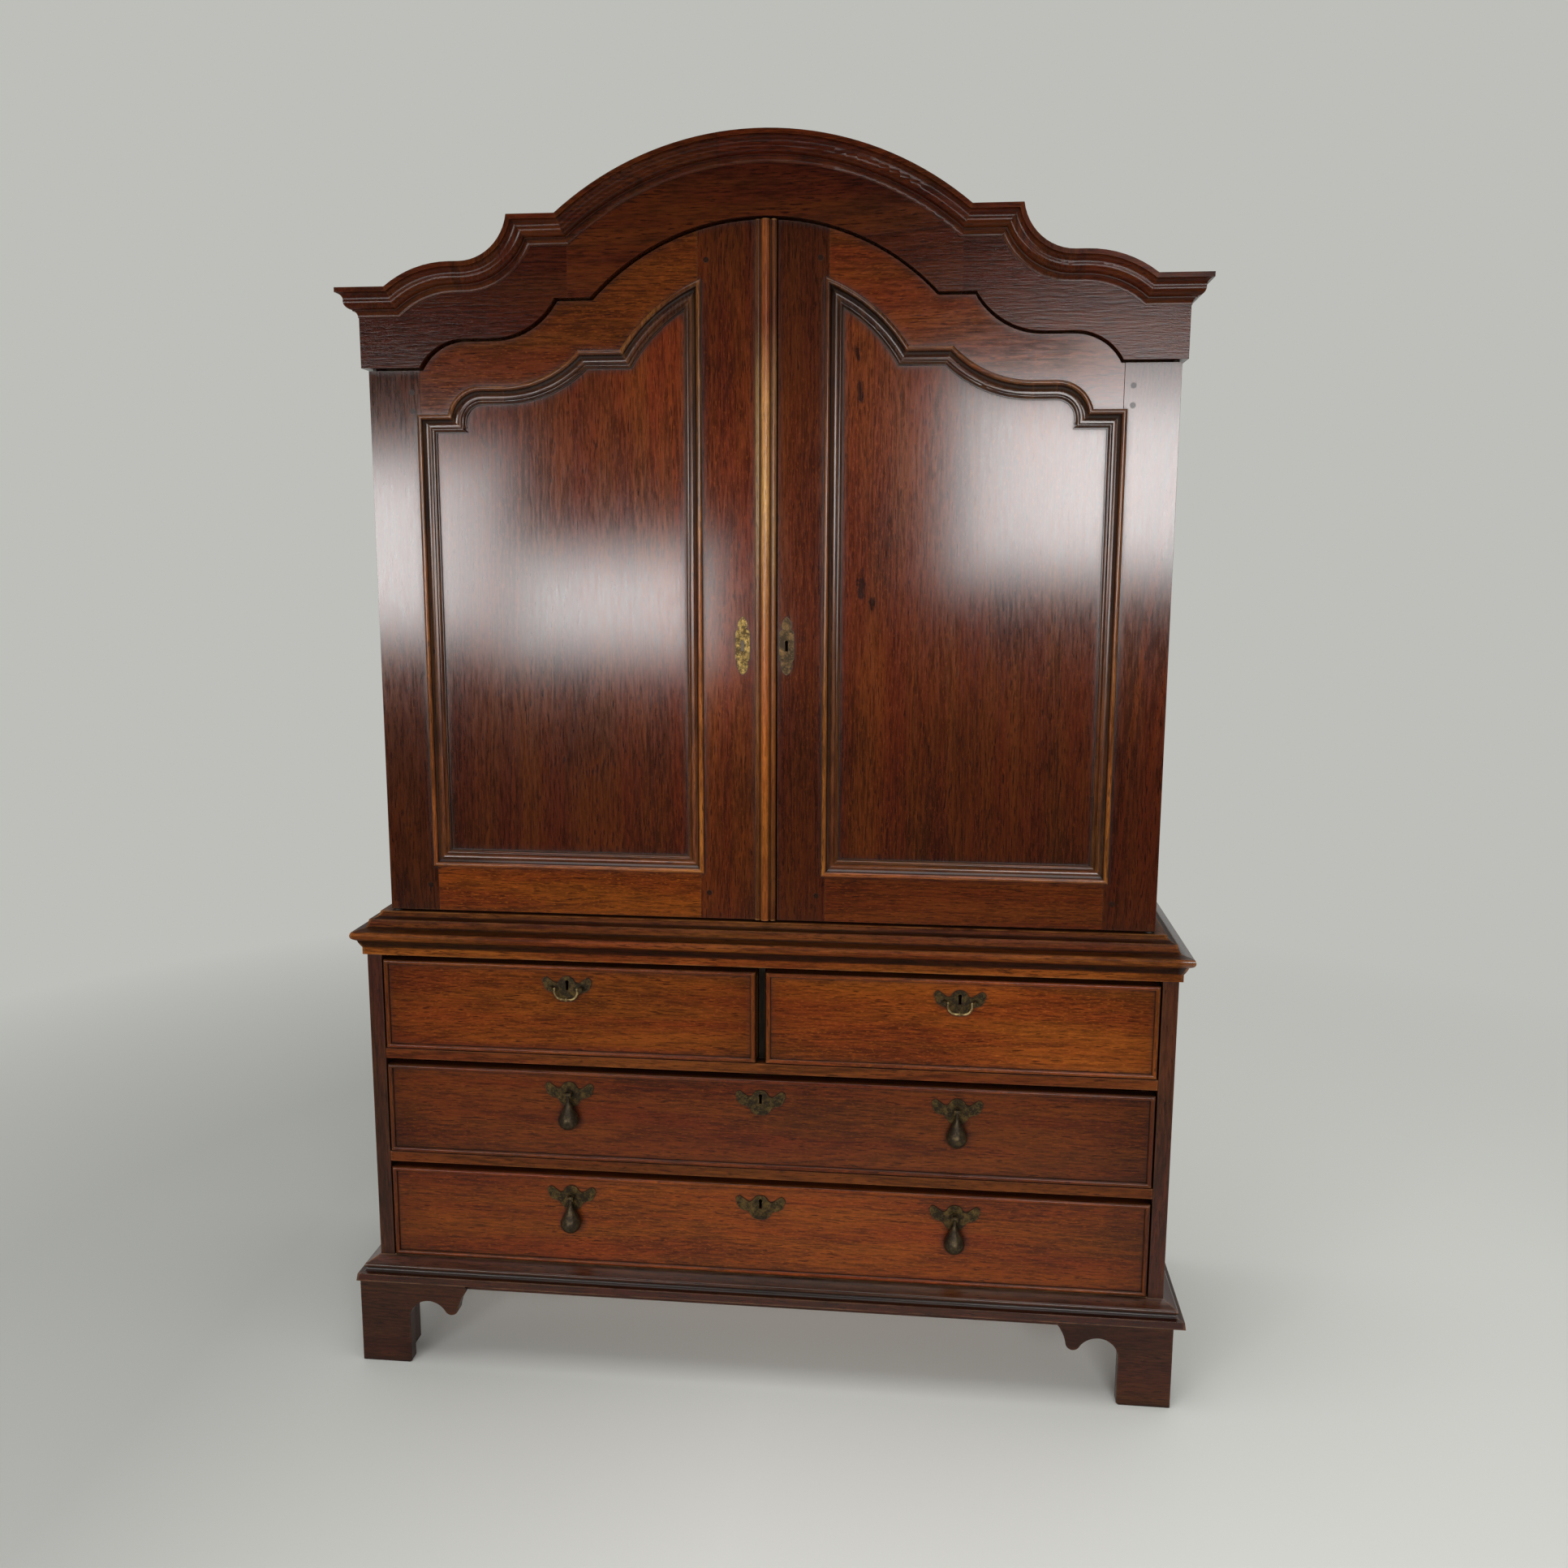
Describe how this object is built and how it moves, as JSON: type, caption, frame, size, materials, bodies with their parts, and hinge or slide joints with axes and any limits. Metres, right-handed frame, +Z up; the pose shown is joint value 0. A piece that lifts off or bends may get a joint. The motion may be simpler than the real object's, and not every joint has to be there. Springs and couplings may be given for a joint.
{
  "type": "linen press",
  "caption": "Two-part oak linen press: arched cupboard with serpentine panelled doors and moulded cornice, over a chest of drawers with brass pulls on bracket feet.",
  "frame": {"origin": "middle of the footprint on the floor", "axes": "+X to the right seen from the front, +Y to the back, +Z up"},
  "size_m": [1.552, 0.596, 2.229],
  "materials": {
    "oak_frame": "polished",
    "oak_panel": "polished",
    "oak_moulding": "polished",
    "oak_drawer": "polished",
    "oak_base": "waxed",
    "oak_inside": "bare",
    "brass_bright": "polished",
    "brass_dark": "patinated",
    "iron": "forged"
  },
  "bodies": {
    "carcass": {"lower_sides": "oak_frame", "lower_back_boards": "oak_inside", "lower_case_boards": "oak_inside", "drawer_rails": "oak_frame", "drawer_runners": "oak_inside", "waist_moulding": "oak_moulding", "base_moulding": "oak_base", "bracket_feet": "oak_base", "upper_sides": "oak_frame", "upper_back_boards": "oak_inside", "upper_floor": "oak_inside", "head_rail": "oak_inside", "roof_planks": "oak_inside", "shelves": "oak_inside", "frieze_boards": "oak_frame", "cornice_arch": "oak_moulding", "cornice_shoulders": "oak_moulding", "door_pivot_pins": "iron"},
    "left_door": {"left_door_stiles": "oak_frame", "left_door_rails": "oak_frame", "left_door_panel": "oak_panel", "left_door_panel_moulding": "oak_moulding", "left_door_astragal": "oak_moulding", "left_door_escutcheon": "brass_bright", "left_door_pivot_bushes": "iron", "left_door_bolt_plates": "iron"},
    "right_door": {"right_door_stiles": "oak_frame", "right_door_rails": "oak_frame", "right_door_panel": "oak_panel", "right_door_panel_moulding": "oak_moulding", "right_door_escutcheon": "brass_bright", "right_door_pivot_bushes": "iron", "right_door_lock": "iron"},
    "right_door_lock_bolt": {"right_door_lock_bolt": "iron"},
    "left_door_top_bolt": {"left_door_top_bolt": "iron"},
    "left_door_bottom_bolt": {"left_door_bottom_bolt": "iron"},
    "short_drawer_left": {"short_drawer_left_front": "oak_drawer", "short_drawer_left_box": "oak_inside", "short_drawer_left_brasses": "brass_dark"},
    "short_drawer_left_lock_bolt": {"short_drawer_left_lock_bolt": "iron"},
    "short_drawer_left_bail": {"short_drawer_left_bail": "brass_dark"},
    "short_drawer_right": {"short_drawer_right_front": "oak_drawer", "short_drawer_right_box": "oak_inside", "short_drawer_right_brasses": "brass_dark"},
    "short_drawer_right_lock_bolt": {"short_drawer_right_lock_bolt": "iron"},
    "short_drawer_right_bail": {"short_drawer_right_bail": "brass_dark"},
    "upper_long_drawer": {"upper_long_drawer_front": "oak_drawer", "upper_long_drawer_box": "oak_inside", "upper_long_drawer_brasses": "brass_dark"},
    "upper_long_drawer_lock_bolt": {"upper_long_drawer_lock_bolt": "iron"},
    "upper_long_drawer_left_drop": {"upper_long_drawer_left_drop": "brass_dark"},
    "upper_long_drawer_right_drop": {"upper_long_drawer_right_drop": "brass_dark"},
    "lower_long_drawer": {"lower_long_drawer_front": "oak_drawer", "lower_long_drawer_box": "oak_inside", "lower_long_drawer_brasses": "brass_dark"},
    "lower_long_drawer_lock_bolt": {"lower_long_drawer_lock_bolt": "iron"},
    "lower_long_drawer_left_drop": {"lower_long_drawer_left_drop": "brass_dark"},
    "lower_long_drawer_right_drop": {"lower_long_drawer_right_drop": "brass_dark"}
  },
  "joints": [
    {"name": "left_door_swing", "type": "hinge", "parent": "carcass", "child": "left_door", "pos_m": [-0.69, -0.226, 1.37], "axis": [0, 0, -1], "range_deg": [0, 110]},
    {"name": "right_door_swing", "type": "hinge", "parent": "carcass", "child": "right_door", "pos_m": [0.69, -0.226, 1.37], "axis": [0, 0, 1], "range_deg": [0, 110]},
    {"name": "right_door_lock_throw", "type": "slide", "parent": "right_door", "child": "right_door_lock_bolt", "axis": [-1, 0, 0], "range_m": [0, 0.014]},
    {"name": "left_door_top_bolt_throw", "type": "slide", "parent": "left_door", "child": "left_door_top_bolt", "axis": [0, 0, 1], "range_m": [0, 0.018]},
    {"name": "left_door_bottom_bolt_throw", "type": "slide", "parent": "left_door", "child": "left_door_bottom_bolt", "axis": [0, 0, -1], "range_m": [0, 0.018]},
    {"name": "short_drawer_left_slide", "type": "slide", "parent": "carcass", "child": "short_drawer_left", "axis": [0, -1, 0], "range_m": [0, 0.38]},
    {"name": "short_drawer_left_lock_throw", "type": "slide", "parent": "short_drawer_left", "child": "short_drawer_left_lock_bolt", "axis": [0, 0, 1], "range_m": [0, 0.019]},
    {"name": "short_drawer_left_bail_swing", "type": "hinge", "parent": "short_drawer_left", "child": "short_drawer_left_bail", "pos_m": [-0.35925, -0.273, 0.7535], "axis": [-1, 0, 0], "range_deg": [0, 100]},
    {"name": "short_drawer_right_slide", "type": "slide", "parent": "carcass", "child": "short_drawer_right", "axis": [0, -1, 0], "range_m": [0, 0.38]},
    {"name": "short_drawer_right_lock_throw", "type": "slide", "parent": "short_drawer_right", "child": "short_drawer_right_lock_bolt", "axis": [0, 0, 1], "range_m": [0, 0.019]},
    {"name": "short_drawer_right_bail_swing", "type": "hinge", "parent": "short_drawer_right", "child": "short_drawer_right_bail", "pos_m": [0.35925, -0.273, 0.7535], "axis": [-1, 0, 0], "range_deg": [0, 100]},
    {"name": "upper_long_drawer_slide", "type": "slide", "parent": "carcass", "child": "upper_long_drawer", "axis": [0, -1, 0], "range_m": [0, 0.38]},
    {"name": "upper_long_drawer_lock_throw", "type": "slide", "parent": "upper_long_drawer", "child": "upper_long_drawer_lock_bolt", "axis": [0, 0, 1], "range_m": [0, 0.019]},
    {"name": "upper_long_drawer_left_drop_swing", "type": "hinge", "parent": "upper_long_drawer", "child": "upper_long_drawer_left_drop", "pos_m": [-0.35925, -0.273, 0.5495], "axis": [-1, 0, 0], "range_deg": [0, 85]},
    {"name": "upper_long_drawer_right_drop_swing", "type": "hinge", "parent": "upper_long_drawer", "child": "upper_long_drawer_right_drop", "pos_m": [0.35925, -0.273, 0.5495], "axis": [-1, 0, 0], "range_deg": [0, 85]},
    {"name": "lower_long_drawer_slide", "type": "slide", "parent": "carcass", "child": "lower_long_drawer", "axis": [0, -1, 0], "range_m": [0, 0.38]},
    {"name": "lower_long_drawer_lock_throw", "type": "slide", "parent": "lower_long_drawer", "child": "lower_long_drawer_lock_bolt", "axis": [0, 0, 1], "range_m": [0, 0.019]},
    {"name": "lower_long_drawer_left_drop_swing", "type": "hinge", "parent": "lower_long_drawer", "child": "lower_long_drawer_left_drop", "pos_m": [-0.35925, -0.273, 0.344], "axis": [-1, 0, 0], "range_deg": [0, 85]},
    {"name": "lower_long_drawer_right_drop_swing", "type": "hinge", "parent": "lower_long_drawer", "child": "lower_long_drawer_right_drop", "pos_m": [0.35925, -0.273, 0.344], "axis": [-1, 0, 0], "range_deg": [0, 85]}
  ]
}
